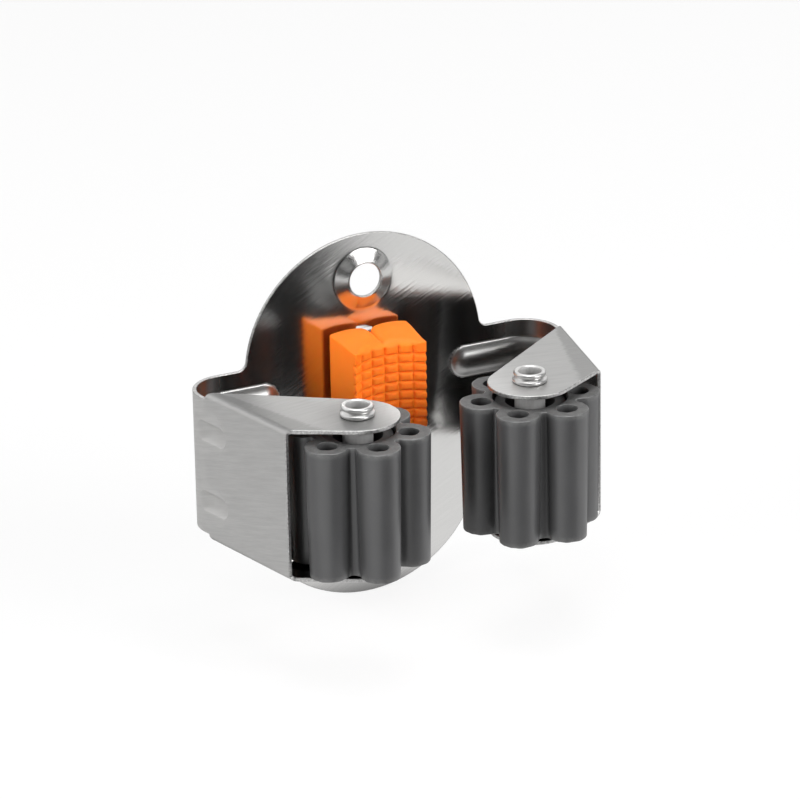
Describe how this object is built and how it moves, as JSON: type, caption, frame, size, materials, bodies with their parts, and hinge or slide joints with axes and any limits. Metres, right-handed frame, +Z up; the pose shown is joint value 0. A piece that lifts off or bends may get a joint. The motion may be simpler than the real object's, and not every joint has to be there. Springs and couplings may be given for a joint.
{
  "type": "wall tool holder",
  "caption": "Wall holder for broom and tool handles: bent sheet steel bracket with hollow-lobed rubber rollers turning on tubular axles in front of a knobbly grip pad.",
  "frame": {"origin": "in the plate's back face, which lies on the wall, midway between the two screw holes", "axes": "+X to the right seen from the front, +Y into the wall, +Z up along the rollers' axles"},
  "size_m": [0.1, 0.0627, 0.0964],
  "materials": {
    "bracket": "stainless sheet, mirror bright with a fine brushed grain",
    "grip_pad": "orange moulded rubber, satin",
    "pad_carrier": "white moulded plastic",
    "axles": "bright drawn tube with rolled ends",
    "washers": "bright washer",
    "bushes": "dark moulded plastic, satin",
    "rollers": "dark grey moulded rubber, matt, trimmed ends"
  },
  "bodies": {
    "bracket": {"bracket": "bracket", "grip_pad": "grip_pad", "pad_carrier": "pad_carrier", "left_axle": "axles", "right_axle": "axles", "left_thrust_washer": "washers", "right_thrust_washer": "washers"},
    "left_roller": {"left_roller": "rollers", "left_bush": "bushes"},
    "right_roller": {"right_roller": "rollers", "right_bush": "bushes"}
  },
  "joints": [
    {"name": "left_roller_spin", "type": "hinge", "parent": "bracket", "child": "left_roller", "pos_m": [-0.0234, -0.045, 0], "axis": [0, 0, 1], "continuous": true},
    {"name": "right_roller_spin", "type": "hinge", "parent": "bracket", "child": "right_roller", "pos_m": [0.0234, -0.045, 0], "axis": [0, 0, 1], "continuous": true}
  ]
}
